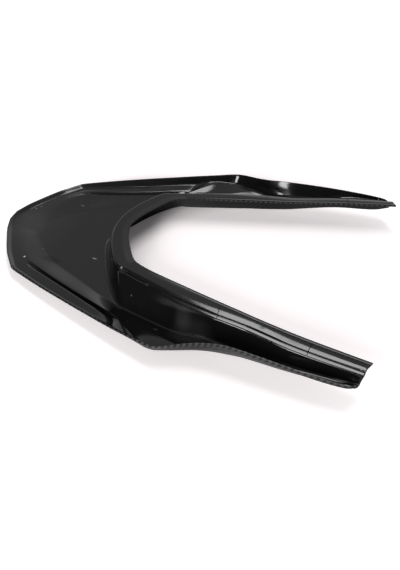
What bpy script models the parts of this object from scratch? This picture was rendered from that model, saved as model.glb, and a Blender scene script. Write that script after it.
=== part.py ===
"""Motorcycle tail fairing: one thin moulded shell, lying with its hollow side up.

Sizes are in millimetres. X runs from the tail to the tips of the two arms,
Y across, Z up from the surface that the shell lies on.
The shell is a loft between twelve lines that run from the symmetry plane at the
tail, round the tail corner and along one arm to its tip.
"""

import math

import bpy
from mathutils import Vector

MM = 0.001
PART_NAME = "tail_fairing"

# Thickness of the moulding
WALL = 2.4

# Tail: the blunt point, its two corners and the turned up border
TAIL_POINT = 58.4
CORNER_HALF_WIDTH = 99.6
TAIL_HEIGHT = 15.4
BORDER_WIDTH = 5.0
BORDER_DEPTH = 4.6

# Sides: the rim at the haunch, at the crest of the arm and at the tip
HAUNCH_AT = 224.0
HAUNCH_HALF_WIDTH = 178.5
HAUNCH_HEIGHT = 29.2
CREST_AT = 297.0
CREST_HALF_WIDTH = 161.0
CREST_HEIGHT = 41.7
TIP_AT = 449.5
TIP_HALF_WIDTH = 172.5
TIP_INNER_HALF_WIDTH = 142.5
TIP_HEIGHT = 36.5

# Seat opening: the wall round it and the flange on top of that wall
OPENING_AT = 105.5
FLANGE_HEIGHT = 42.0
FLANGE_WIDTH_AT_BEND = 18.0
FLANGE_RISE_AT_TIP = 5.2
FLANGE_TILT = 0.6
WALL_FOOT_AT = 86.5
RISER_AT = 6.4
RISER_DROP = 1.2
RISER_HEIGHT = 2.3
RISER_RUN = 0.7
LEDGE_AT = 10.6
LEDGE_DROP = 5.2

# Channel beside the raised floor, and the step between them
STEP_START_HEIGHT = 13.3
STEP_END_HEIGHT = 13.8
STEP_DEPTH = 5.0
GROOVE_DEPTH = 3.9

# Arms: the bottom of the trough
TROUGH_START_HEIGHT = 9.0
TROUGH_TIP_HEIGHT = 30.6

# Fillets, as the length that each takes from the faces beside it
BORDER_FILLET = 2.2
GROOVE_FILLET = 0.8
STEP_FILLET = 1.3
FLOOR_FILLET = 5.0
FOOT_FILLET = 4.5
LEDGE_FILLET = 2.4
FLANGE_FILLET = 2.4

# Underside of the floor lies on Z 0, so the floor's upper face is one wall up
FLOOR = WALL

# Stations along the lines
(
    PLANE,
    POINT,
    CORNER,
    SLOT,
    SIDE,
    HIP,
    SLOT_END,
    KINK,
    RAMP_TOP,
    PLATEAU,
    RIDGE,
    DIP,
    CREST,
    ARM,
    TIP_TURN,
    TIP,
) = range(16)
TAIL_SIDE = 1.6
STEPS_BETWEEN_STATIONS = (1, 7, 3, 3, 3, 3, 2, 3, 3, 4, 4, 4, 4, 4, 3)


def rounded(points, t):
    """Point at station t on straight runs between the points, rounded at each by its softness."""
    if t <= points[0][0]:
        return Vector(points[0][1:4])
    if t >= points[-1][0]:
        return Vector(points[-1][1:4])
    for before, here, after in zip(points, points[1:], points[2:]):
        start = here[0] - here[4] * (here[0] - before[0])
        end = here[0] + here[4] * (after[0] - here[0])
        if start < t < end:
            middle = Vector(here[1:4])
            into = middle.lerp(Vector(before[1:4]), here[4])
            out = middle.lerp(Vector(after[1:4]), here[4])
            s = (t - start) / (end - start)
            return into * (1 - s) ** 2 + middle * 2 * s * (1 - s) + out * s ** 2
    for before, after in zip(points, points[1:]):
        if before[0] <= t <= after[0]:
            share = (t - before[0]) / (after[0] - before[0])
            return Vector(before[1:4]).lerp(Vector(after[1:4]), share)


def amount(pairs, t):
    """Value at station t between (station, value) pairs."""
    for (t0, v0), (t1, v1) in zip(pairs, pairs[1:]):
        if t <= t1:
            return v0 + (v1 - v0) * max(0.0, t - t0) / (t1 - t0)
    return pairs[-1][1]


def beside(line, t, inward, down):
    """Point beside a line: inward is square to the line in plan, towards the seat opening."""
    ahead = rounded(line, min(t + 0.02, line[-1][0]))
    behind = rounded(line, max(t - 0.02, line[0][0]))
    run = ahead - behind
    across = Vector((run.y, -run.x, 0)).normalized()
    return rounded(line, t) + across * inward - Vector((0, 0, down))


def rim_line():
    """Outer edge of the shell: (station, x, y, z, softness)."""
    return (
        (PLANE, -TAIL_POINT, 0, TAIL_HEIGHT, 0),
        (POINT, -TAIL_POINT, 16, TAIL_HEIGHT, 0.55),
        (TAIL_SIDE, -25, 71.6, TAIL_HEIGHT, 0.3),
        (CORNER, -1, CORNER_HALF_WIDTH, TAIL_HEIGHT, 0.3),
        (SLOT, 46, 119, 18.2, 0.5),
        (SIDE, 95, 137, 21, 0.5),
        (SLOT_END, 165, 161.5, 24.8, 0.5),
        (RAMP_TOP, 195, 170.3, 27, 0.4),
        (RIDGE, HAUNCH_AT, HAUNCH_HALF_WIDTH, HAUNCH_HEIGHT, 0.12),
        (DIP, 263.5, 164.4, 36, 0.4),
        (CREST, CREST_AT, CREST_HALF_WIDTH, CREST_HEIGHT, 0.4),
        (ARM, 358, 167.2, 40.3, 0.4),
        (TIP_TURN, TIP_AT - 20, TIP_HALF_WIDTH, TIP_HEIGHT - 0.4, 0.6),
        (TIP, TIP_AT - 12.5, TIP_HALF_WIDTH - 6, TIP_HEIGHT, 0),
    )


def channel_line():
    """Bottom of the groove between the channel floor and the step."""
    return (
        (PLANE, 12 - TAIL_POINT, 0, 7.2, 0),
        (POINT, 12 - TAIL_POINT, 7, 7.2, 0.5),
        (CORNER, 1.5, 82, STEP_START_HEIGHT - 0.8, 0.3),
        (SLOT, 43, 94.5, 8.6, 0.4),
        (SIDE, 97, 114.5, 8.6 - 0.6 * STEP_DEPTH, 0.5),
        (HIP, 128, 126.3, 10.2 - 0.9 * STEP_DEPTH, 0.5),
        (SLOT_END, 155, 139.5, STEP_END_HEIGHT - STEP_DEPTH, 0.2),
        (KINK, 163.4, 141.3, STEP_END_HEIGHT + 1.8, 0.25),
        (RAMP_TOP, 185, 156.5, STEP_END_HEIGHT + 3, 0.3),
        (PLATEAU, 210, 163, 16.2, 0.5),
        (RIDGE, 234, 165.5, 16.3, 0.1),
        (DIP, 279, 156.6, 21, 0.4),
        (CREST, 307, 156.5, 27, 0.4),
        (ARM, 363, 162.5, 29.6, 0.4),
        (TIP, TIP_AT - 12.5, TIP_HALF_WIDTH - 6, TROUGH_TIP_HEIGHT + 2.5, 0),
    )


def step_line():
    """Top of the step, then the crease across the plateau."""
    return (
        (PLANE, 24 - TAIL_POINT, 0, 4.9, 0),
        (POINT, 24 - TAIL_POINT, 6, 4.9, 0.5),
        (CORNER, 2.5, 74.5, STEP_START_HEIGHT, 0.3),
        (SLOT, 43, 91, 10.2, 0.4),
        (SIDE, 97, 110.3, 8.6, 0.5),
        (HIP, 128, 122, 10.2, 0.5),
        (SLOT_END, 150, 131.8, STEP_END_HEIGHT - 0.4, 0.3),
        (KINK, 156.5, 134.2, STEP_END_HEIGHT + 0.4, 0.3),
        (RAMP_TOP, 182.3, 142.5, STEP_END_HEIGHT - 0.3, 0.3),
        (PLATEAU, 212, 149.7, 15, 0.4),
        (RIDGE, 245, 158, 17, 0.1),
        (DIP, 289, 152.4, 15.2, 0.4),
        (CREST, 311, 154.5, 20, 0.4),
        (ARM, 365, 160, 25.8, 0.4),
        (TIP, TIP_AT - 12, TIP_HALF_WIDTH - 7.5, TROUGH_TIP_HEIGHT + 0.9, 0),
    )


def floor_line():
    """Edge of the flat floor, then the outer side of the trough's bottom."""
    return (
        (PLANE, 36 - TAIL_POINT, 0, FLOOR, 0),
        (POINT, 36 - TAIL_POINT, 5, FLOOR, 0.5),
        (CORNER, 13.4, 52.4, FLOOR, 0.4),
        (SLOT, 45, 65, FLOOR, 0.4),
        (SIDE, 87, 82, FLOOR, 0.5),
        (HIP, 119, 98, FLOOR, 0.5),
        (SLOT_END, 145, 110.5, FLOOR + 0.8, 0.4),
        (KINK, 160, 116.8, FLOOR + 1.8, 0.4),
        (RAMP_TOP, 181.3, 122, FLOOR + 2.2, 0.4),
        (PLATEAU, 228, 135.2, FLOOR + 3.3, 0.3),
        (RIDGE, 262, 145.4, 12.5, 0.12),
        (DIP, 300, 148.6, 12, 0.4),
        (CREST, 317, 152, 15, 0.4),
        (ARM, 367, 157.5, 22.6, 0.4),
        (TIP, TIP_AT - 10.5, TIP_HALF_WIDTH - 9.5, TROUGH_TIP_HEIGHT, 0),
    )


def foot_line():
    """Foot of the wall round the seat opening, then the inner side of the trough's bottom."""
    return (
        (PLANE, WALL_FOOT_AT, 0, FLOOR, 0),
        (POINT, WALL_FOOT_AT, 3, FLOOR, 0.5),
        (CORNER, 92.5, 21, FLOOR, 0.5),
        (SLOT, 104.5, 46, FLOOR, 0.5),
        (SIDE, 122, 76.5, FLOOR + 0.8, 0.5),
        (HIP, 141, 99.5, FLOOR + 1.3, 0.4),
        (SLOT_END, 153, 110.5, FLOOR + 1, 0.4),
        (KINK, 164, 113.2, FLOOR, 0.4),
        (RAMP_TOP, 181, 117.8, FLOOR, 0.4),
        (PLATEAU, 232, 130.3, FLOOR + 0.8, 0.3),
        (RIDGE, 271, 132, TROUGH_START_HEIGHT, 0.12),
        (DIP, 300, 137.6, 11.2, 0.4),
        (CREST, 322, 142.6, 14.4, 0.4),
        (ARM, 370, 153.6, 22.2, 0.4),
        (TIP, TIP_AT - 8.5, TIP_HALF_WIDTH - 11.7, TROUGH_TIP_HEIGHT + 0.6, 0),
    )


def flange_line():
    """Crease between the top flange and the wall round the seat opening."""
    tip_height = FLANGE_HEIGHT + 0.5 * FLANGE_RISE_AT_TIP
    return (
        (PLANE, OPENING_AT, 0, FLANGE_HEIGHT, 0),
        (POINT, OPENING_AT, 4, FLANGE_HEIGHT, 0.5),
        (CORNER, 107.5, 21, FLANGE_HEIGHT, 0.5),
        (SLOT, 115, 41, FLANGE_HEIGHT, 0.5),
        (SIDE, 127, 62.4, FLANGE_HEIGHT, 0.5),
        (HIP, 139.8, 80.8, FLANGE_HEIGHT, 0.45),
        (SLOT_END, 153, 82.7, FLANGE_HEIGHT, 0.5),
        (KINK, 163, 86.3, FLANGE_HEIGHT, 0.5),
        (RAMP_TOP, 180, 92, FLANGE_HEIGHT, 0.4),
        (PLATEAU, 230, 105.6, FLANGE_HEIGHT, 0.4),
        (RIDGE, 280, 114, FLANGE_HEIGHT, 0.4),
        (DIP, 300, 117, FLANGE_HEIGHT, 0.4),
        (CREST, 321, 120.8, FLANGE_HEIGHT, 0.4),
        (ARM, 372, 135.5, FLANGE_HEIGHT + 1.4, 0.4),
        (TIP, TIP_AT - 4.5, TIP_INNER_HALF_WIDTH + 8, tip_height, 0),
    )


def border_point(t):
    """Foot of the border wall inside the rim."""
    inward = amount(
        ((PLANE, BORDER_WIDTH), (CORNER, 5), (SIDE, 6), (SLOT_END, 6.4), (PLATEAU, 5.3), (RIDGE, 5.6),
         (DIP, 8), (CREST, 3), (ARM, 2), (TIP, 0.8)), t)
    down = amount(
        ((PLANE, BORDER_DEPTH), (CORNER, 4.6), (SIDE, 9.4), (SLOT_END, 10.8), (PLATEAU, 13), (RIDGE, 13.2),
         (DIP, 8.4), (CREST, 8.5), (ARM, 6.3), (TIP, 2)), t)
    return beside(rim_line(), t, inward, down)


def groove_edge(t):
    """Outer edge of the groove at the foot of the step; on the channel floor where there is no groove."""
    share = amount(((SLOT_END, 0.14), (RAMP_TOP, 0.4)), t)
    height = amount(
        ((CORNER, 0), (SLOT, 0.4 * GROOVE_DEPTH), (SIDE, GROOVE_DEPTH), (HIP, GROOVE_DEPTH),
         (SLOT_END, 0.2 * GROOVE_DEPTH), (KINK, 0)), t)
    return rounded(channel_line(), t).lerp(border_point(t), share) + Vector((0, 0, height))


def riser_points(t):
    """Top and foot of the short riser outside the flange crease, which stands clear on the arms."""
    outward = amount(
        ((PLANE, 2), (RAMP_TOP, 2), (PLATEAU, RISER_AT - 2.2), (CREST, RISER_AT), (ARM, RISER_AT),
         (TIP, 3.4)), t)
    down = amount(((PLANE, 1.6), (RAMP_TOP, 1.6), (PLATEAU, RISER_DROP), (TIP, RISER_DROP)), t)
    top = beside(flange_line(), t, -outward, down)
    foot = beside(flange_line(), t, -outward - RISER_RUN, down + RISER_HEIGHT)
    return top, foot


def ledge_point(t):
    """Lower edge of the sloping ledge at the foot of the riser."""
    outward = amount(
        ((PLANE, 3.2), (RAMP_TOP, 3.6), (PLATEAU, LEDGE_AT - 2.2), (CREST, LEDGE_AT), (ARM, LEDGE_AT),
         (TIP, 7.2)), t)
    down = amount(
        ((PLANE, 6.4), (RAMP_TOP, 6.6), (PLATEAU, LEDGE_DROP), (ARM, LEDGE_DROP + 0.8), (TIP, 6.4)), t)
    return beside(flange_line(), t, -outward, down)


def lip_line():
    """Free inner edge of the flange."""
    top = FLANGE_HEIGHT + FLANGE_TILT
    return (
        (PLANE, OPENING_AT + FLANGE_WIDTH_AT_BEND, 0, FLANGE_HEIGHT, 0),
        (POINT, OPENING_AT + FLANGE_WIDTH_AT_BEND, 4, FLANGE_HEIGHT, 0.5),
        (CORNER, 128, 19, FLANGE_HEIGHT, 0.5),
        (SLOT, 134.5, 33, FLANGE_HEIGHT, 0.5),
        (SIDE, 143.5, 48.5, FLANGE_HEIGHT, 0.5),
        (HIP, 154.5, 65.5, top, 0.5),
        (SLOT_END, 163.5, 71, top, 0.5),
        (KINK, 172, 74.3, top, 0.4),
        (RAMP_TOP, 187, 79.4, top, 0.4),
        (PLATEAU, 231, 91.1, top, 0.4),
        (RIDGE, 281, 104, top, 0.4),
        (DIP, 301, 108.8, top, 0.4),
        (CREST, 322, 114.3, top, 0.4),
        (ARM, 373, 127.2, top + 0.3 * FLANGE_RISE_AT_TIP, 0.4),
        (TIP, TIP_AT, TIP_INNER_HALF_WIDTH, FLANGE_HEIGHT + FLANGE_RISE_AT_TIP, 0),
    )


def fillet(before, corner, after, length, count):
    """Points that round a corner, never longer than the faces beside it allow."""
    if count == 1:
        return [corner]
    reach = min(length, 0.45 * (before - corner).length, 0.45 * (after - corner).length)
    into = corner + (before - corner).normalized() * reach
    out = corner + (after - corner).normalized() * reach
    points = []
    for i in range(count):
        s = i / (count - 1)
        points.append(into * (1 - s) ** 2 + corner * 2 * s * (1 - s) + out * s ** 2)
    return points


def section(t):
    """Points across the shell at station t, from the rim to the lip of the flange."""
    riser_top, riser_foot = riser_points(t)
    corners = (
        rounded(rim_line(), t),
        border_point(t),
        groove_edge(t),
        rounded(channel_line(), t),
        rounded(step_line(), t),
        rounded(floor_line(), t),
        rounded(foot_line(), t),
        ledge_point(t),
        riser_foot,
        riser_top,
        rounded(flange_line(), t),
        rounded(lip_line(), t),
    )
    fillets = (
        (BORDER_FILLET, 3),
        (GROOVE_FILLET, 2),
        (STEP_FILLET, 2),
        (STEP_FILLET, 2),
        (FLOOR_FILLET, 2),
        (FOOT_FILLET, 3),
        (LEDGE_FILLET, 2),
        (0, 1),
        (0, 1),
        (FLANGE_FILLET, 3),
    )
    points = [corners[0]]
    for i, (length, count) in enumerate(fillets):
        points += fillet(corners[i], corners[i + 1], corners[i + 2], length, count)
    points.append(corners[-1])
    return points


def stations():
    """Places along the lines where the shell has a row of points."""
    places = [float(PLANE)]
    for station, steps in enumerate(STEPS_BETWEEN_STATIONS):
        places += [station + (i + 1) / steps for i in range(steps)]
    return places


def half_shell(centre_x):
    """Upper face of one half of the shell, open at the symmetry plane."""
    rows = [section(t) for t in stations()]
    for point in rows[0]:
        point.y = 0
    shift = Vector((centre_x, 0, 0))
    vertices = [(point - shift) * MM for row in rows for point in row]
    width = len(rows[0])
    faces = []
    for i in range(len(rows) - 1):
        for j in range(width - 1):
            a = i * width + j
            faces.append((a, a + 1, a + width + 1, a + width))
    mesh = bpy.data.meshes.new(PART_NAME)
    mesh.from_pydata(vertices, [], faces)
    mesh.update()
    return mesh


def plastic():
    """Black moulded plastic."""
    material = bpy.data.materials.new("black_plastic")
    material.use_nodes = True
    shader = material.node_tree.nodes["Principled BSDF"]
    shader.inputs["Base Color"].default_value = (0.012, 0.012, 0.013, 1)
    shader.inputs["Roughness"].default_value = 0.35
    return material


def build():
    for obj in list(bpy.data.objects):
        bpy.data.objects.remove(obj)
    parts = bpy.data.collections.new(PART_NAME)
    bpy.context.scene.collection.children.link(parts)

    tail_edge = TAIL_POINT + WALL * BORDER_DEPTH / math.hypot(BORDER_WIDTH, BORDER_DEPTH)
    shell = bpy.data.objects.new(PART_NAME, half_shell((TIP_AT - tail_edge) / 2))
    parts.objects.link(shell)
    shell.data.materials.append(plastic())

    mirror = shell.modifiers.new("other_half", "MIRROR")
    mirror.use_axis = (False, True, False)
    mirror.use_mirror_merge = True
    mirror.merge_threshold = 0.0001

    solid = shell.modifiers.new("wall", "SOLIDIFY")
    solid.thickness = WALL * MM
    solid.offset = -1
    solid.use_even_offset = True
    solid.use_quality_normals = True

    shell.data.shade_smooth()
    shell.data.set_sharp_from_angle(angle=0.6)


build()
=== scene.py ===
import math

import bpy
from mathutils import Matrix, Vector


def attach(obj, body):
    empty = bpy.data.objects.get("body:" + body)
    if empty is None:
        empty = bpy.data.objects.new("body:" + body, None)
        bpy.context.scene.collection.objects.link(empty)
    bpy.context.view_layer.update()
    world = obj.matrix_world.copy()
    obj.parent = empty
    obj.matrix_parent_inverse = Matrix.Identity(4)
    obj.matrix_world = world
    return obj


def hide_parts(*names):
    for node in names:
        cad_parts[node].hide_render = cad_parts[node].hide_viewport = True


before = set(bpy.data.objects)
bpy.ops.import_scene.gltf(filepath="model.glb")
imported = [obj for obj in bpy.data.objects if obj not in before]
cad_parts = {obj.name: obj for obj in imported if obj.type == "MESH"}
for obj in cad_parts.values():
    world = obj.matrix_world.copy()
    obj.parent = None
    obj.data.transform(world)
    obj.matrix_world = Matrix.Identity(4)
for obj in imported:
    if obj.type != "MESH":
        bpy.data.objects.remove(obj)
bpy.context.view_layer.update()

# Sizes of the shell in millimetres, angles in degrees
MM = 0.001
WALL = 2.2
EDGE_RADIUS = 0.35
SHARP_FROM = 50
SMOOTH_UP_TO = 40
TAIL_POINT = -58.4
TAIL_RIM_HEIGHT = 15.4
PANEL_TOP = 2.4
FLANGE_TOP = 42
TIP_AT = 449.5
# The lines below are measured from near the tail corner, the model from the middle of its box
WALL_PAST_RIM = 1.62
MIDDLE = (TIP_AT + TAIL_POINT - WALL_PAST_RIM) / 2

# Stations along the lines
PLANE, POINT, CORNER, SLOT, SIDE, HIP, SLOT_END, KINK = range(8)
RAMP_TOP, PLATEAU, RIDGE, DIP, CREST, ARM, TIP_TURN, TIP = range(8, 16)
TAIL_SIDE = 1.6
# How far to each side of a station the direction of a line is taken
NEAR_BY = 0.02
ROWS_BETWEEN_STATIONS = (2, 30, 16, 18, 14, 12, 10, 12, 14, 16, 16, 12, 20, 20, 14)

# Lines of the shell in millimetres: station, x, y, z, and how soft the line bends there
RIM = (
    (PLANE, TAIL_POINT, 0, TAIL_RIM_HEIGHT, 0),
    (POINT, TAIL_POINT, 16, TAIL_RIM_HEIGHT, 0.55),
    (TAIL_SIDE, -25, 71.6, TAIL_RIM_HEIGHT, 0.3),
    (CORNER, -1, 99.6, TAIL_RIM_HEIGHT, 0.14),
    (SLOT, 46, 119, 18.2, 0.5),
    (SIDE, 95, 137, 21, 0.5),
    (SLOT_END, 165, 161.5, 24.8, 0.5),
    (RAMP_TOP, 195, 170.3, 27, 0.4),
    (RIDGE, 224, 178.5, 29.2, 0.28),
    (DIP, 263.5, 164.4, 36, 0.4),
    (CREST, 297, 161, 41.7, 0.4),
    (ARM, 358, 167.2, 40.3, 0.4),
    (TIP_TURN, 429.5, 172.5, 36.1, 0.6),
    (TIP, 437, 166.5, 36.5, 0),
)
CHANNEL = (
    (PLANE, -46.4, 0, 7.2, 0),
    (POINT, -46.4, 7, 7.2, 0.5),
    (CORNER, 1.5, 82, 12.5, 0.3),
    (SLOT, 43, 94.5, 8.6, 0.4),
    (SIDE, 97, 114.5, 5.6, 0.5),
    (HIP, 128, 126.3, 5.7, 0.5),
    (SLOT_END, 158.5, 139.2, 8.8, 0.12),
    (KINK, 163, 138.5, 12.4, 0.12),
    (RAMP_TOP, 188, 158, 17.2, 0.25),
    (PLATEAU, 208, 163, 15.8, 0.5),
    (RIDGE, 234, 165.5, 16.3, 0.1),
    (DIP, 279, 154, 21, 0.4),
    (CREST, 307, 154.4, 26, 0.4),
    (ARM, 363, 162.5, 29.6, 0.4),
    (TIP, 437, 166.5, 33.1, 0),
)
STEP = (
    (PLANE, -34.4, 0, 4.9, 0),
    (POINT, -34.4, 6, 4.9, 0.5),
    (CORNER, 2.5, 74.5, 13.3, 0.3),
    (SLOT, 43, 91, 10.2, 0.4),
    (SIDE, 97, 110.3, 8.6, 0.5),
    (HIP, 128, 122, 10.2, 0.5),
    (SLOT_END, 150, 131.8, 13.4, 0.3),
    (KINK, 156.5, 134.2, 11.6, 0.2),
    (RAMP_TOP, 179, 142, 11.4, 0.3),
    (PLATEAU, 212, 146, 12.4, 0.4),
    (RIDGE, 245, 158, 17, 0.1),
    (DIP, 289, 149.6, 15.4, 0.4),
    (CREST, 311, 151.2, 20, 0.4),
    (ARM, 365, 160, 25.8, 0.4),
    (TIP, 437.5, 165, 31.5, 0),
)
FLOOR_EDGE = (
    (PLANE, -22.4, 0, PANEL_TOP, 0),
    (POINT, -22.4, 5, PANEL_TOP, 0.5),
    (CORNER, 13, 43, 3.6, 0.4),
    (SLOT, 45, 65, PANEL_TOP, 0.4),
    (SIDE, 87, 82, PANEL_TOP, 0.5),
    (HIP, 119, 98, PANEL_TOP, 0.5),
    (SLOT_END, 145, 110.5, 3.2, 0.4),
    (KINK, 160, 116.8, 4.2, 0.4),
    (RAMP_TOP, 181.3, 122, 4.6, 0.4),
    (PLATEAU, 228, 134.4, 7, 0.3),
    (RIDGE, 262, 145.4, 12.5, 0.12),
    (DIP, 300, 147, 12, 0.4),
    (CREST, 317, 148.4, 15.2, 0.4),
    (ARM, 367, 157.5, 21.6, 0.4),
    (TIP_TURN, 421, 160.5, 24.6, 0.4),
    (TIP, 439, 163, 30.6, 0),
)
FOOT = (
    (PLANE, 86.5, 0, PANEL_TOP, 0),
    (POINT, 86.5, 3, PANEL_TOP, 0.5),
    (CORNER, 92.5, 21, PANEL_TOP, 0.5),
    (SLOT, 104.5, 46, PANEL_TOP, 0.5),
    (SIDE, 122, 76.5, 3.2, 0.5),
    (HIP, 141, 99.5, 3.7, 0.4),
    (SLOT_END, 153, 110.5, 3.4, 0.4),
    (KINK, 164, 113.2, PANEL_TOP, 0.4),
    (RAMP_TOP, 181, 117.8, PANEL_TOP, 0.4),
    (PLATEAU, 232, 130.3, 3.2, 0.3),
    (RIDGE, 271, 132, 9, 0.12),
    (DIP, 300, 137.6, 11.2, 0.4),
    (CREST, 322, 142.6, 14.4, 0.4),
    (ARM, 370, 153.6, 21.4, 0.4),
    (TIP_TURN, 423, 156.8, 26, 0.4),
    (TIP, 441, 160.8, 31.2, 0),
)
FLANGE = (
    (PLANE, 105.5, 0, FLANGE_TOP, 0),
    (POINT, 105.5, 4, FLANGE_TOP, 0.5),
    (CORNER, 107.5, 21, FLANGE_TOP, 0.5),
    (SLOT, 115, 41, FLANGE_TOP, 0.5),
    (SIDE, 127, 62.4, FLANGE_TOP, 0.5),
    (HIP, 139.8, 80.8, FLANGE_TOP, 0.45),
    (SLOT_END, 153, 82.7, FLANGE_TOP, 0.5),
    (KINK, 163, 86.3, FLANGE_TOP, 0.5),
    (RAMP_TOP, 180, 92, FLANGE_TOP, 0.4),
    (PLATEAU, 230, 105.6, FLANGE_TOP, 0.4),
    (RIDGE, 280, 114, FLANGE_TOP, 0.4),
    (DIP, 300, 117, FLANGE_TOP, 0.4),
    (CREST, 321, 120.8, FLANGE_TOP, 0.4),
    (ARM, 372, 135.5, 43.8, 0.4),
    (TIP, 445, 150.5, 46.3, 0),
)
LIP = (
    (PLANE, 123.5, 0, FLANGE_TOP, 0),
    (POINT, 123.5, 4, FLANGE_TOP, 0.5),
    (CORNER, 128, 19, FLANGE_TOP, 0.5),
    (SLOT, 134.5, 33, FLANGE_TOP, 0.5),
    (SIDE, 143.5, 48.5, FLANGE_TOP, 0.5),
    (HIP, 154.5, 65.5, 42.6, 0.5),
    (SLOT_END, 163.5, 71, 42.6, 0.5),
    (KINK, 172, 74.3, 42.6, 0.4),
    (RAMP_TOP, 187, 79.4, 42.6, 0.4),
    (PLATEAU, 231, 91.1, 42.6, 0.4),
    (RIDGE, 281, 104, 42.6, 0.4),
    (DIP, 301, 108.8, 42.6, 0.4),
    (CREST, 322, 114.3, 42.6, 0.4),
    (ARM, 373, 127.2, 44.16, 0.4),
    (TIP, TIP_AT, 142.5, 47.2, 0),
)
# Border wall inside the rim: station, width, depth
BORDER = (
    (PLANE, 5.0, 4.6),
    (CORNER, 5.0, 4.6),
    (SIDE, 6.0, 9.4),
    (SLOT_END, 6.4, 10.0),
    (KINK, 5.0, 7.4),
    (RAMP_TOP, 4.6, 8.2),
    (PLATEAU, 4.8, 11.0),
    (RIDGE, 7.6, 12.2),
    (DIP, 3.2, 10.0),
    (CREST, 4.4, 10.0),
    (ARM, 3.0, 7.0),
    (TIP, 0.8, 2.0),
)
# Outer edge of the groove: station, share of the way from the channel line to the border, rise
GROOVE_EDGE = (
    (PLANE, 0.14, 0),
    (CORNER, 0.14, 0),
    (SLOT, 0.14, 2.4),
    (SIDE, 0.14, 3.9),
    (HIP, 0.14, 3.9),
    (SLOT_END, 0.14, 0.8),
    (KINK, 0.2, 0),
    (RAMP_TOP, 0.4, 0),
    (TIP, 0.4, 0),
)
# Bottom of the groove: station, share of the way from the channel line to the step, rise
GROOVE_FOOT = (
    (PLANE, 0, 0),
    (CORNER, 0, 0),
    (SLOT, 0.75, -2.0),
    (SIDE, 0.82, -1.2),
    (HIP, 0.82, -1.2),
    (SLOT_END, 0.7, -0.4),
    (KINK, 0, 0),
    (TIP, 0, 0),
)
# Riser under the flange on the arms: station, distance from the flange crease, drop
RISER = (
    (PLANE, 2.0, 1.6),
    (RAMP_TOP, 2.0, 1.6),
    (PLATEAU, 4.4, 1.2),
    (RIDGE, 6.4, 1.2),
    (CREST, 6.4, 1.2),
    (ARM, 6.4, 1.2),
    (TIP, 3.4, 1.2),
)
RISER_FOOT = tuple((t, width + 0.7, drop + 2.3) for t, width, drop in RISER)
# Ledge at the foot of the riser: station, distance from the flange crease, drop
LEDGE = (
    (PLANE, 3.2, 6.4),
    (RAMP_TOP, 3.6, 6.6),
    (PLATEAU, 9.4, 4.7),
    (RIDGE, 11.6, 4.4),
    (CREST, 11.6, 4.4),
    (ARM, 11.6, 4.4),
    (TIP, 7.8, 4.5),
)
# Size of the fillet at each crease, from the border's foot to the flange
FILLETS = (2.2, 1.6, 0.5, 0.7, 5.0, 4.5, 1.3, 0.4, 0.3, 1.6)
FILLET_SHARE = 0.45
FILLET_POINTS = 6
FLAT_POINTS = 2

# Cloth of the outer skin: its tows, and the dashes that they leave beside the edges, in metres
TOW_WIDTH = 0.0017
DASH_LENGTH = 0.0068
LIP_DASH_LENGTH = 0.0046
RIM_BAND = (0.0045, 0.0055)
RIM_BAND_STARTS = (0.015, 0.06)
RIM_BAND_SLANT = 0.7
EDGE_DASHES_START = (0.015, 0.05)
# Lines beside the lip of the flange: where each soft edge starts and ends, in metres from it
LIP_DARK_LINE = (0.0012, 0.0017)
LIP_PALE_STRIP = (0.0015, 0.002, 0.0029, 0.0034)
LIP_DASHES = (0.0032, 0.0037, 0.0046, 0.0052)
LIP_LINES_START = (0.02, 0.08)
LIP_DASH_DARKNESS = 0.8

# Small spots and patches on the hollow side in metres: place, stretch along each axis, radius,
# strength
ROUND = (1, 1, 1)
SPOT_CORE = 0.3
# Small spots that are paler and rougher than the plastic around them
PALE_SPOTS = (
    ((-0.2347, 0.0286, 0.0098), ROUND, 0.0017, 0.5),
    ((-0.2302, 0.0351, 0.0099), ROUND, 0.0016, 0.4),
    ((-0.2021, 0.0686, 0.0114), ROUND, 0.0016, 0.3),
    ((-0.1771, 0.0597, 0.0068), (0.4, 1, 1), 0.0016, 0.2),
    ((-0.1939, -0.0730, 0.0121), ROUND, 0.0022, 1.6),
    ((-0.1112, -0.0383, 0.0025), (0.35, 1, 1), 0.0016, 0.8),
    ((-0.1854, -0.0436, 0.0036), (0.4, 1, 1), 0.0016, 0.35),
    ((-0.0488, -0.0826, 0.0413), (1, 1, 0.5), 0.0018, 0.9),
    ((-0.0292, -0.1025, 0.0186), ROUND, 0.0016, 0.3),
    ((0.0144, -0.1363, 0.0084), (0.5, 1, 1), 0.002, 0.15),
    ((0.2447, -0.1526, 0.0451), ROUND, 0.0018, 0.5),
    ((0.2314, 0.1695, 0.0340), (1, 1, 0.3), 0.0016, 0.5),
)
DARK_SPOTS = (
    ((0.1498, -0.1397, 0.0380), ROUND, 0.0022, 1.0),
    ((0.2526, 0.1421, 0.0471), ROUND, 0.0022, 1.0),
    ((-0.1640, -0.0600, 0.0040), (0.5, 1, 0.3), 0.009, 0.35),
    ((0.1362, -0.1254, 0.0421), (0.6, 1, 1), 0.003, 0.5),
)
TAIL_DUST_STARTS = (-0.15, -0.24)
# Paler patches in the arms' troughs; the two on the near arm are painted reflections of a bright
# thing, near the foot of its inner wall and higher up on that wall
DUST_AND_REFLECTION_PATCHES = (
    ((0.0560, -0.1340, 0.0085), (0.6, 1, 0.5), 0.02, 1.3),
    ((0.0560, 0.1340, 0.0085), (0.6, 1, 0.5), 0.02, 0.8),
    ((0.0440, -0.1200, 0.0200), (1, 0.8, 0.5), 0.014, 1.2),
)
# Print of the cloth at the tail: where it shows, the middle of its rings, and its strength
PRINT_PATCH = (((-0.2291, -0.0026, 0.0049), (1, 0.7, 1), 0.03, 1.0),)
PRINT_CENTRE = (-0.29, 0.06, 0)
PRINT_STRENGTH = 2.4
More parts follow.
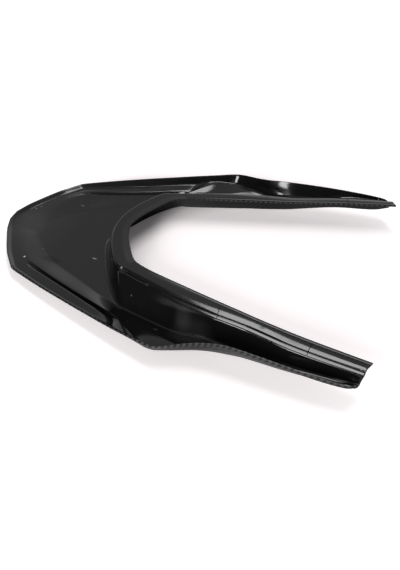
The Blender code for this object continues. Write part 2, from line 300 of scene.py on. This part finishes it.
# Grooves across the arms: place along X at the middle plane, slant, and their reach in |Y|
CROSS_GROOVES = (
    (0.0837, 0.0, 0.1105, 0.1245),
    (0.2157, 0.183, 0.1310, 0.1465),
)
CROSS_GROOVE_END = 0.001
CROSS_GROOVE_SIDE = (0.0002, 0.0007)

# Greys, roughness and shine of the hollow side and of what lies on it
PLASTIC_TONE = 0.0045
PLASTIC_BLUE = 1.04
# Paler tone of the dusty tail, the print and the patches, two of which are painted reflections on
# the near arm
DUST_AND_REFLECTION_TONE = 0.010
# Paler tone of the convex edges, partly worn by rubbing and partly painted highlight
EDGE_WEAR_AND_HIGHLIGHT_TONE = 0.02
PALE_SPOT_TONE = 0.25
STRIP_TONE = 0.13
PLASTIC_ROUGHNESS = (0.11, 0.17)
PALE_SPOT_ROUGHNESS = 0.3
PLASTIC_SHINE = 0.5
SHINE_LOST = 0.47
# Greys, roughness and lacquer of the outer skin and of the cut edge
TOW_DARK = (0.004, 0.004, 0.0045, 1)
TOW_PALE = (0.03, 0.03, 0.031, 1)
BARE_TOWS = (0.003, 0.075)
LACQUER = 0.45
LACQUER_WORN_OFF = 0.35
SKIN_ROUGHNESS = (0.28, 0.46)
EDGE_TONE = (0.02, 0.055)
EDGE_ROUGHNESS = (0.3, 0.55)
# Fine unevenness: how close it lies, and how strong and how deep it is
CLOUD_SCALE = 14
CLOUD_DETAIL = 5
CLOUD_BUMP = (0.25, 0.0003)
GRAIN_SCALE = 900
GRAIN_BUMP = (0.03, 0.0002)
FIBRE_SCALE = 2200
TOW_BUMP = (0.5, 0.0003)
PEEL_SCALE = 260
PEEL_BUMP = (0.05, 0.0003)
CHIP_SCALE = 700
CHIP_BUMP = (0.2, 0.0003)

# Light of the room, where 1 shows as white, and where each part of it starts and ends
ROOM_COLOUR = (1, 0.995, 1, 1)
BACK_LIGHT = 0.4
FRONT_LIGHT = 0.05
LOW_LIGHT = 0.45
HIGH_LIGHT = 0.12
BACK_WALL_SIDE = (-0.15, 0.85, 0.5)
BACK_WALL_EDGE = (0.55, 0.8)
LOW_LIGHT_TOP = (0.2, 0.52)
LOW_LIGHT_SIDE = (0.1, 0.6)
HIGH_LIGHT_FOOT = (0.55, 0.75)
# Floor: its size, its paint in the light of the room and as seen, its glow and its shade
FLOOR_SIZE = 8
FLOOR_PAINT = (0.62, 0.605, 0.61, 1)
FLOOR_PAINT_SEEN = (1.0, 0.945, 0.95, 1)
FLOOR_GLOW_COLOUR = (1, 0.965, 0.97, 1)
FLOOR_GLOW = 0.34
FLOOR_GLOW_EDGE = (0.2, 0.6)
OPENING_MIDDLE = (0.06, 0.02, 0)
OPENING_EDGE = (0.096, 0.14)
BEND_MIDDLE = (-0.075, 0.06, 0)
BEND_EDGE = (0.09, 0.14)
BEND_SHADE = 0.8
# Lamps: place, what it aims at, width and length, radiance, turn about its aim
OVERHEAD_SOFTBOX = ((0.069, 0.101, 1.1), (0.069, 0.101, 0.0), (0.78, 0.22), 9, -39)
FRONT_STRIP = ((-0.26, -1.1, 0.52), (0.08, 0.15, 0.03), (0.36, 0.6), 16, 0)
CAMERA_PLACE = (0.40090 - MIDDLE * MM, -0.5538, 0.5099)
CAMERA_TURN = (46.66, 0, 18.24)
CAMERA_LENS = 36.95


def rounded(points, t):
    """Point at station t on straight runs between the points, rounded at each by its softness."""
    if t <= points[0][0]:
        return Vector(points[0][1:4])
    if t >= points[-1][0]:
        return Vector(points[-1][1:4])
    for before, here, after in zip(points, points[1:], points[2:]):
        start = here[0] - here[4] * (here[0] - before[0])
        end = here[0] + here[4] * (after[0] - here[0])
        if start < t < end:
            middle = Vector(here[1:4])
            into = middle.lerp(Vector(before[1:4]), here[4])
            out = middle.lerp(Vector(after[1:4]), here[4])
            s = (t - start) / (end - start)
            return into * (1 - s) ** 2 + middle * 2 * s * (1 - s) + out * s**2
    for before, after in zip(points, points[1:]):
        if before[0] <= t <= after[0]:
            share = (t - before[0]) / (after[0] - before[0])
            return Vector(before[1:4]).lerp(Vector(after[1:4]), share)


def beside(line, sizes, t, side):
    """Point beside a line, as far across and down as the sizes say at station t."""
    run = rounded(line, min(t + NEAR_BY, TIP)) - rounded(line, max(t - NEAR_BY, PLANE))
    across = Vector((run.y, -run.x, 0)).normalized() * side
    for (t0, w0, d0), (t1, w1, d1) in zip(sizes, sizes[1:]):
        if t <= t1:
            share = max(0.0, t - t0) / (t1 - t0)
            width = w0 + (w1 - w0) * share
            depth = d0 + (d1 - d0) * share
            break
    return rounded(line, t) + across * width - Vector((0, 0, depth))


def between(start, end, sizes, t):
    """Point on the way from start to end, raised, as the sizes say at station t."""
    for (t0, s0, r0), (t1, s1, r1) in zip(sizes, sizes[1:]):
        if t <= t1:
            way = max(0.0, t - t0) / (t1 - t0)
            break
    return start.lerp(end, s0 + (s1 - s0) * way) + Vector((0, 0, r0 + (r1 - r0) * way))


def section(t):
    """Points across the shell at station t, from the rim to the lip of the flange."""
    border = beside(RIM, BORDER, t, 1)
    channel = rounded(CHANNEL, t)
    step = rounded(STEP, t)
    low_step = Vector((step.x, step.y, min(step.z, channel.z)))
    corners = (
        rounded(RIM, t),
        border,
        between(channel, border, GROOVE_EDGE, t),
        between(channel, low_step, GROOVE_FOOT, t),
        step,
        rounded(FLOOR_EDGE, t),
        rounded(FOOT, t),
        beside(FLANGE, LEDGE, t, -1),
        beside(FLANGE, RISER_FOOT, t, -1),
        beside(FLANGE, RISER, t, -1),
        rounded(FLANGE, t),
        rounded(LIP, t),
    )
    points = [corners[0]]
    for i, size in enumerate(FILLETS):
        before, corner, after = corners[i : i + 3]
        shorter = min((before - corner).length, (after - corner).length)
        reach = min(size, FILLET_SHARE * shorter)
        into = corner + (before - corner).normalized() * reach
        out = corner + (after - corner).normalized() * reach
        last = points[-1]
        for k in range(1, FLAT_POINTS + 1):
            points.append(last.lerp(into, k / (FLAT_POINTS + 1)))
        for k in range(FILLET_POINTS):
            s = k / (FILLET_POINTS - 1)
            points.append(into * (1 - s) ** 2 + corner * 2 * s * (1 - s) + out * s**2)
    last = points[-1]
    for k in range(1, FLAT_POINTS + 2):
        points.append(last.lerp(corners[-1], k / (FLAT_POINTS + 1)))
    return points


def select_only(obj):
    bpy.ops.object.select_all(action="DESELECT")
    obj.select_set(True)
    bpy.context.view_layer.objects.active = obj


def apply_modifiers(obj):
    select_only(obj)
    for modifier in list(obj.modifiers):
        bpy.ops.object.modifier_apply(modifier=modifier.name)


def lay_map(mesh, rows, stations):
    """Real lengths as the map: along each line from the slot's end, and across from the lip."""
    along, across = len(rows), len(rows[0])
    start = min(range(along), key=lambda i: abs(stations[i] - SLOT_END))
    u = [[0.0] * across for _ in rows]
    v = [[0.0] * across for _ in rows]
    for j in range(across):
        for i in range(start + 1, along):
            u[i][j] = u[i - 1][j] + (rows[i][j] - rows[i - 1][j]).length * MM
        for i in range(start - 1, -1, -1):
            u[i][j] = u[i + 1][j] - (rows[i][j] - rows[i + 1][j]).length * MM
    for i in range(along):
        for j in range(across - 2, -1, -1):
            v[i][j] = v[i][j + 1] + (rows[i][j] - rows[i][j + 1]).length * MM
    layer = mesh.uv_layers.active
    for loop in mesh.loops:
        i, j = divmod(loop.vertex_index, across)
        layer.uv[loop.index].vector = (u[i][j], v[i][j])


def lay_rim_distance(mesh, rows):
    """Distance from the rim across the shell, kept on each vertex."""
    across = len(rows[0])
    from_rim = mesh.attributes.new("from_rim", "FLOAT", "POINT")
    for i, row in enumerate(rows):
        reach = 0.0
        for j in range(across):
            reach += (row[j] - row[max(j - 1, 0)]).length * MM
            from_rim.data[i * across + j].value = reach


def sheet():
    """One half of the shell without its wall: a grid whose rows are laid along the sections."""
    stations = [float(PLANE)]
    for station, rows_here in enumerate(ROWS_BETWEEN_STATIONS):
        stations += [station + (i + 1) / rows_here for i in range(rows_here)]
    rows = [section(t) for t in stations]
    for point in rows[0]:
        point.y = 0
    along, across = len(rows), len(rows[0])

    bpy.ops.object.select_all(action="DESELECT")
    bpy.ops.mesh.primitive_grid_add(x_subdivisions=across - 1, y_subdivisions=along - 1, size=1)
    half = bpy.context.active_object
    mesh = half.data
    places = []
    for row in rows:
        for point in row:
            places += [(point.x - MIDDLE) * MM, point.y * MM, point.z * MM]
    mesh.vertices.foreach_set("co", places)
    lay_map(mesh, rows, stations)
    lay_rim_distance(mesh, rows)
    mesh.update()
    if mesh.polygons[len(mesh.polygons) // 2].normal.z < 0:
        mesh.flip_normals()
    return half


def moulding():
    """The shell: the sheet is mirrored and given its wall and its small edge radius."""
    shell = sheet()
    shell.name = "fairing_shell"
    mirror = shell.modifiers.new("other_half", "MIRROR")
    mirror.use_axis = (False, True, False)
    mirror.merge_threshold = 0.1 * MM
    solid = shell.modifiers.new("wall", "SOLIDIFY")
    solid.thickness = WALL * MM
    solid.offset = -1
    solid.use_even_offset = True
    solid.use_quality_normals = True
    solid.material_offset = 1
    solid.material_offset_rim = 2
    bevel = shell.modifiers.new("edge", "BEVEL")
    bevel.width = EDGE_RADIUS * MM
    bevel.segments = 2
    bevel.limit_method = "ANGLE"
    bevel.angle_limit = math.radians(SHARP_FROM)
    for material in (inside_plastic(), carbon_skin(), cut_edge()):
        shell.data.materials.append(material)
    apply_modifiers(shell)
    bpy.ops.object.shade_smooth_by_angle(angle=math.radians(SMOOTH_UP_TO))
    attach(shell, "root")
    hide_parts("tail_fairing")


def new_material(name):
    material = bpy.data.materials.new(name)
    material.use_nodes = True
    tree = material.node_tree
    return material, tree, tree.nodes["Principled BSDF"]


def add(tree, kind, **values):
    node = tree.nodes.new(kind)
    for name, value in values.items():
        setattr(node, name, value)
    return node


def link(tree, source, target, socket):
    """Link a (node, output) pair to a socket."""
    node, output = source
    tree.links.new(node.outputs[output], target.inputs[socket])


def math_node(tree, operation, *sides, clamp=False):
    """One step of arithmetic; each side is a number or a (node, output) pair."""
    node = add(tree, "ShaderNodeMath", operation=operation, use_clamp=clamp)
    for i, side in enumerate(sides):
        if isinstance(side, tuple):
            link(tree, side, node, i)
        else:
            node.inputs[i].default_value = side
    return node, "Value"


def fade(tree, source, start, end, low=0.0, high=1.0):
    """Smooth change of the source between two values."""
    node = add(tree, "ShaderNodeMapRange", interpolation_type="SMOOTHSTEP")
    for name, value in zip(("From Min", "From Max", "To Min", "To Max"), (start, end, low, high)):
        node.inputs[name].default_value = value
    link(tree, source, node, "Value")
    return node, "Result"


def band(tree, source, edges):
    """One between two soft edges, nothing outside them; edges say where each starts and ends."""
    rise = fade(tree, source, edges[0], edges[1])
    fall = fade(tree, source, edges[2], edges[3], 1.0, 0.0)
    return math_node(tree, "MULTIPLY", rise, fall)


def dashes(tree, along, length, start, end, low=0.0, high=1.0):
    """Dashes of one length, which change from low to high between two shares of it."""
    share = math_node(tree, "FRACT", math_node(tree, "DIVIDE", along, length))
    return fade(tree, share, start, end, low, high)


def axes(tree, coords, output):
    """The three parts of a set of coordinates."""
    node = add(tree, "ShaderNodeSeparateXYZ")
    link(tree, (coords, output), node, "Vector")
    return (node, "X"), (node, "Y"), (node, "Z")


def distance_from(tree, coords, place):
    node = add(tree, "ShaderNodeVectorMath", operation="DISTANCE")
    node.inputs[1].default_value = place
    link(tree, (coords, "Object"), node, 0)
    return node, "Value"


def noise(tree, coords, output, scale, detail=2):
    node = add(tree, "ShaderNodeTexNoise")
    node.inputs["Scale"].default_value = scale
    node.inputs["Detail"].default_value = detail
    link(tree, (coords, output), node, "Vector")
    return node, "Fac"


def bump(tree, height, strength, distance, under=None):
    """Bump from a height, laid over another bump if one is given."""
    node = add(tree, "ShaderNodeBump")
    node.inputs["Strength"].default_value = strength
    node.inputs["Distance"].default_value = distance
    link(tree, height, node, "Height")
    if under:
        link(tree, under, node, "Normal")
    return node, "Normal"


def grey(tree, tone, blue=None):
    """Colour of one tone, or with a blue of its own."""
    node = add(tree, "ShaderNodeCombineColor")
    for name, part in (("Red", tone), ("Green", tone), ("Blue", blue or tone)):
        link(tree, part, node, name)
    return node, "Color"


def blend(tree, share, first, second):
    """Mix of two colours; each is four numbers or a (node, output) pair."""
    node = add(tree, "ShaderNodeMix", data_type="RGBA")
    link(tree, share, node, "Factor")
    for name, colour in (("A", first), ("B", second)):
        if len(colour) == 2:
            link(tree, colour, node, name)
        else:
            node.inputs[name].default_value = colour
    return node, "Result"


def spots(tree, coords, marks):
    """Sum of soft spots: place, stretch along each axis, radius and strength of each."""
    total = 0.0
    for place, stretch, radius, strength in marks:
        away = add(tree, "ShaderNodeVectorMath", operation="SUBTRACT")
        away.inputs[1].default_value = place
        scaled = add(tree, "ShaderNodeVectorMath", operation="MULTIPLY")
        scaled.inputs[1].default_value = stretch
        length = add(tree, "ShaderNodeVectorMath", operation="LENGTH")
        link(tree, (coords, "Object"), away, 0)
        link(tree, (away, "Vector"), scaled, 0)
        link(tree, (scaled, "Vector"), length, 0)
        spot = fade(tree, (length, "Value"), radius * SPOT_CORE, radius, strength, 0.0)
        total = math_node(tree, "ADD", spot, total)
    return total


def cross_grooves(tree, x, side):
    """Thin grooves cut across the ledge of each arm."""
    total = 0.0
    for offset, slant, start, end in CROSS_GROOVES:
        along = math_node(tree, "MULTIPLY_ADD", side, slant, x)
        off = math_node(tree, "ABSOLUTE", math_node(tree, "SUBTRACT", along, offset))
        line = fade(tree, off, *CROSS_GROOVE_SIDE, 1.0, 0.0)
        reach = band(tree, side, (start, start + CROSS_GROOVE_END, end, end + CROSS_GROOVE_END))
        line = math_node(tree, "MULTIPLY", line, reach)
        total = math_node(tree, "ADD", line, total)
    return total


def cloth_print(tree, coords):
    """Print of the cloth at the tail, seen as fine curved lines."""
    lines = add(tree, "ShaderNodeTexWave", wave_type="RINGS", rings_direction="Z")
    lines.inputs["Scale"].default_value = 92
    lines.inputs["Distortion"].default_value = 0.6
    lines.inputs["Detail Scale"].default_value = 3
    moved = add(tree, "ShaderNodeVectorMath", operation="SUBTRACT")
    moved.inputs[1].default_value = PRINT_CENTRE
    link(tree, (coords, "Object"), moved, 0)
    link(tree, (moved, "Vector"), lines, "Vector")
    return math_node(tree, "MULTIPLY", (lines, "Fac"), spots(tree, coords, PRINT_PATCH))


def lip_lines(tree, coords):
    """Along the lip of the arms: a pale strip, and as dark parts the very edge and the dashes."""
    along, from_lip, _ = axes(tree, coords, "UV")
    on_arm = fade(tree, along, *LIP_LINES_START)
    strip = band(tree, from_lip, LIP_PALE_STRIP)
    row = band(tree, from_lip, LIP_DASHES)
    row = math_node(tree, "MULTIPLY", row, dashes(tree, along, LIP_DASH_LENGTH, 0.4, 0.6))
    row = math_node(tree, "ADD", row, fade(tree, from_lip, *LIP_DARK_LINE, 1.0, 0.0))
    strip = math_node(tree, "MULTIPLY", strip, on_arm)
    row = math_node(tree, "MULTIPLY", row, on_arm)
    return strip, row


def inside_plastic():
    """Satin black plastic of the hollow side, with its cloth print, a dusty tail, small pale
    spots, convex edges paler as wear and as painted highlight, and painted reflections on the
    near arm.
    """
    material, tree, shader = new_material("inside_plastic")
    coords = add(tree, "ShaderNodeTexCoord")
    x, y, _ = axes(tree, coords, "Object")
    side = math_node(tree, "ABSOLUTE", y)
    cloud = noise(tree, coords, "Object", CLOUD_SCALE, CLOUD_DETAIL)
    grain = noise(tree, coords, "Object", GRAIN_SCALE)

    # Dust makes the tail a little paler toward its end; paler patches lie in the arms' troughs,
    # and the two on the near arm are painted reflections, near the foot of its inner wall and
    # higher up on that wall
    dust_and_reflection = fade(tree, x, *TAIL_DUST_STARTS)
    dust_and_reflection = math_node(tree, "ADD", dust_and_reflection, spots(tree, coords, DUST_AND_REFLECTION_PATCHES))
    dust_and_reflection = math_node(tree, "MULTIPLY", dust_and_reflection, fade(tree, cloud, 0.3, 0.6, 0.7, 1.2))
    dust_and_reflection = math_node(tree, "MULTIPLY_ADD", cloth_print(tree, coords), PRINT_STRENGTH, dust_and_reflection)

    pale_spots = spots(tree, coords, PALE_SPOTS)
    strip, row = lip_lines(tree, coords)
    dark = math_node(tree, "ADD", cross_grooves(tree, x, side), spots(tree, coords, DARK_SPOTS))
    dark = math_node(tree, "MULTIPLY_ADD", row, LIP_DASH_DARKNESS, dark, clamp=True)

    # Convex edges are made a little paler: partly worn by rubbing, partly a painted highlight
    # along the creases
    surface = add(tree, "ShaderNodeNewGeometry")
    edge_wear_and_highlight = fade(tree, (surface, "Pointiness"), 0.53, 0.6)
    edge_wear_and_highlight = math_node(tree, "MULTIPLY", edge_wear_and_highlight, fade(tree, cloud, 0.35, 0.7, 0.3, 1.0))

    tone = math_node(tree, "MULTIPLY_ADD", dust_and_reflection, DUST_AND_REFLECTION_TONE, PLASTIC_TONE)
    tone = math_node(tree, "MULTIPLY_ADD", edge_wear_and_highlight, EDGE_WEAR_AND_HIGHLIGHT_TONE, tone)
    tone = math_node(tree, "MULTIPLY_ADD", pale_spots, PALE_SPOT_TONE, tone)
    tone = math_node(tree, "MULTIPLY_ADD", strip, STRIP_TONE, tone)
    blue = math_node(tree, "MULTIPLY", tone, PLASTIC_BLUE)
    link(tree, grey(tree, tone, blue), shader, "Base Color")

    rough = fade(tree, cloud, 0.2, 0.8, *PLASTIC_ROUGHNESS)
    rough = math_node(tree, "MULTIPLY_ADD", pale_spots, PALE_SPOT_ROUGHNESS, rough)
    link(tree, rough, shader, "Roughness")
    shine = math_node(tree, "MULTIPLY_ADD", dark, -SHINE_LOST, PLASTIC_SHINE)
    link(tree, shine, shader, "Specular IOR Level")

    fine = bump(tree, grain, *GRAIN_BUMP)
    ripple = bump(tree, cloud, *CLOUD_BUMP, under=fine)
    link(tree, ripple, shader, "Normal")
    return material


def tow_height(tree, place):
    """Height of a tow, rounded across its width."""
    middle = math_node(tree, "SUBTRACT", math_node(tree, "FRACT", place), 0.5)
    drop = math_node(tree, "POWER", math_node(tree, "ABSOLUTE", middle), 2.0)
    return math_node(tree, "SUBTRACT", 1.0, drop)


def carbon_skin():
    """Carbon twill under clear lacquer on the outer side."""
    material, tree, shader = new_material("carbon_skin")
    coords = add(tree, "ShaderNodeTexCoord")
    u, v, _ = axes(tree, coords, "UV")
    along = math_node(tree, "DIVIDE", u, TOW_WIDTH)
    across = math_node(tree, "DIVIDE", v, TOW_WIDTH)
    cell_along = math_node(tree, "FLOOR", along)
    cell_across = math_node(tree, "FLOOR", across)
    cells = math_node(tree, "ADD", cell_along, cell_across)
    over = math_node(tree, "LESS_THAN", math_node(tree, "FLOORED_MODULO", cells, 4.0), 1.5)
    height = add(tree, "ShaderNodeMix")
    link(tree, over, height, "Factor")
    link(tree, tow_height(tree, along), height, "A")
    link(tree, tow_height(tree, across), height, "B")

    # Band below the rim where the tows lie bare and slanted
    rim = add(tree, "ShaderNodeAttribute", attribute_name="from_rim")
    from_rim = (rim, "Fac")
    slanted = math_node(tree, "MULTIPLY_ADD", from_rim, RIM_BAND_SLANT, u)
    bare = fade(tree, from_rim, *RIM_BAND, 1.0, 0.0)
    bare = math_node(tree, "MULTIPLY", bare, fade(tree, u, *RIM_BAND_STARTS))
    bare_tows = grey(tree, dashes(tree, slanted, DASH_LENGTH, 0.35, 0.6, *BARE_TOWS))
    twill = blend(tree, over, TOW_DARK, TOW_PALE)
    link(tree, blend(tree, bare, twill, bare_tows), shader, "Base Color")
    lacquer = math_node(tree, "MULTIPLY_ADD", bare, -LACQUER_WORN_OFF, LACQUER)
    link(tree, lacquer, shader, "Coat Weight")

    fibre = noise(tree, coords, "UV", FIBRE_SCALE)
    link(tree, fade(tree, fibre, 0.2, 0.8, *SKIN_ROUGHNESS), shader, "Roughness")
    shader.inputs["Metallic"].default_value = 0.35
    shader.inputs["Specular IOR Level"].default_value = 0.35
    shader.inputs["Anisotropic"].default_value = 0.7
    link(tree, math_node(tree, "MULTIPLY", over, 0.25), shader, "Anisotropic Rotation")
    tangent = add(tree, "ShaderNodeTangent", direction_type="UV_MAP")
    link(tree, (tangent, "Tangent"), shader, "Tangent")
    link(tree, bump(tree, (height, "Result"), *TOW_BUMP), shader, "Normal")

    # The lacquer is slightly uneven
    peel = noise(tree, coords, "Object", PEEL_SCALE)
    link(tree, bump(tree, peel, *PEEL_BUMP), shader, "Coat Normal")
    shader.inputs["Coat Roughness"].default_value = 0.05
    return material


def cut_edge():
    """Trimmed edge of the shell, where the tows show as short dashes along the arms."""
    material, tree, shader = new_material("cut_edge")
    coords = add(tree, "ShaderNodeTexCoord")
    u, _, _ = axes(tree, coords, "UV")
    bare = fade(tree, u, *EDGE_DASHES_START, *EDGE_TONE)
    dash = math_node(tree, "MULTIPLY", dashes(tree, u, DASH_LENGTH, 0.42, 0.58, 0.08, 1.0), bare)
    link(tree, grey(tree, dash), shader, "Base Color")
    chips = noise(tree, coords, "Object", CHIP_SCALE)
    link(tree, fade(tree, chips, 0.3, 0.7, *EDGE_ROUGHNESS), shader, "Roughness")
    link(tree, bump(tree, chips, *CHIP_BUMP), shader, "Normal")
    return material


def white_floor():
    """White as seen, a little darker in the light of the room, and shaded at the bend."""
    material, tree, shader = new_material("white_floor")
    shader.inputs["Roughness"].default_value = 0.9
    shader.inputs["Specular IOR Level"].default_value = 0.0
    shader.inputs["Emission Color"].default_value = FLOOR_GLOW_COLOUR
    coords = add(tree, "ShaderNodeTexCoord")
    path = add(tree, "ShaderNodeLightPath")
    seen = (path, "Is Camera Ray")
    link(tree, blend(tree, seen, FLOOR_PAINT, FLOOR_PAINT_SEEN), shader, "Base Color")

    glow = fade(tree, distance_from(tree, coords, (0, 0, 0)), *FLOOR_GLOW_EDGE, FLOOR_GLOW, 1.0)
    from_opening = distance_from(tree, coords, OPENING_MIDDLE)
    shade = fade(tree, from_opening, *OPENING_EDGE, 0.0, BEND_SHADE)
    near_bend = fade(tree, distance_from(tree, coords, BEND_MIDDLE), *BEND_EDGE, 1.0, 0.0)
    clear = math_node(tree, "SUBTRACT", 1.0, math_node(tree, "MULTIPLY", shade, near_bend))
    glow = math_node(tree, "MULTIPLY", math_node(tree, "MULTIPLY", glow, clear), seen)
    link(tree, glow, shader, "Emission Strength")
    return material


def floor():
    """Pale floor that keeps the shadow of the shell."""
    bpy.ops.object.select_all(action="DESELECT")
    bpy.ops.mesh.primitive_plane_add(size=FLOOR_SIZE)
    plane = bpy.context.active_object
    plane.name = "studio_floor"
    plane.data.materials.append(white_floor())


def surroundings():
    """Dim room: paler behind the shell, most of all near the floor there, and at the top."""
    world = bpy.data.worlds.new("studio")
    bpy.context.scene.world = world
    world.use_nodes = True
    tree = world.node_tree
    background = tree.nodes["Background"]
    background.inputs["Color"].default_value = ROOM_COLOUR
    coords = add(tree, "ShaderNodeTexCoord")
    dot = add(tree, "ShaderNodeVectorMath", operation="DOT_PRODUCT")
    dot.inputs[1].default_value = BACK_WALL_SIDE
    link(tree, (coords, "Generated"), dot, 0)
    facing = (dot, "Value")
    _, _, height = axes(tree, coords, "Generated")
    wall = fade(tree, facing, *BACK_WALL_EDGE, FRONT_LIGHT, BACK_LIGHT)
    low = fade(tree, height, *LOW_LIGHT_TOP, LOW_LIGHT, 0.0)
    low = math_node(tree, "MULTIPLY", low, fade(tree, facing, *LOW_LIGHT_SIDE))
    high = fade(tree, height, *HIGH_LIGHT_FOOT, 0.0, HIGH_LIGHT)
    total = math_node(tree, "ADD", math_node(tree, "ADD", low, wall), high)
    link(tree, total, background, "Strength")


def softbox(name, place, target, size, radiance, turn):
    lamp = bpy.data.lights.new(name, "AREA")
    lamp.shape = "RECTANGLE"
    lamp.size, lamp.size_y = size
    lamp.energy = radiance * math.pi * size[0] * size[1]
    holder = bpy.data.objects.new(name, lamp)
    bpy.context.scene.collection.objects.link(holder)
    holder.location = place
    aim = Vector(target) - Vector(place)
    holder.rotation_euler = aim.to_track_quat("-Z", "Y").to_euler()
    holder.rotation_euler.rotate_axis("Z", math.radians(turn))


def studio():
    """Lamps and the camera."""
    softbox("overhead_softbox", *OVERHEAD_SOFTBOX)
    softbox("front_strip", *FRONT_STRIP)
    camera = bpy.data.cameras.new("camera")
    camera.lens = CAMERA_LENS
    holder = bpy.data.objects.new("camera", camera)
    bpy.context.scene.collection.objects.link(holder)
    holder.location = CAMERA_PLACE
    holder.rotation_euler = [math.radians(angle) for angle in CAMERA_TURN]
    bpy.context.scene.camera = holder
    bpy.context.scene.view_settings.view_transform = "Standard"


moulding()
floor()
surroundings()
studio()
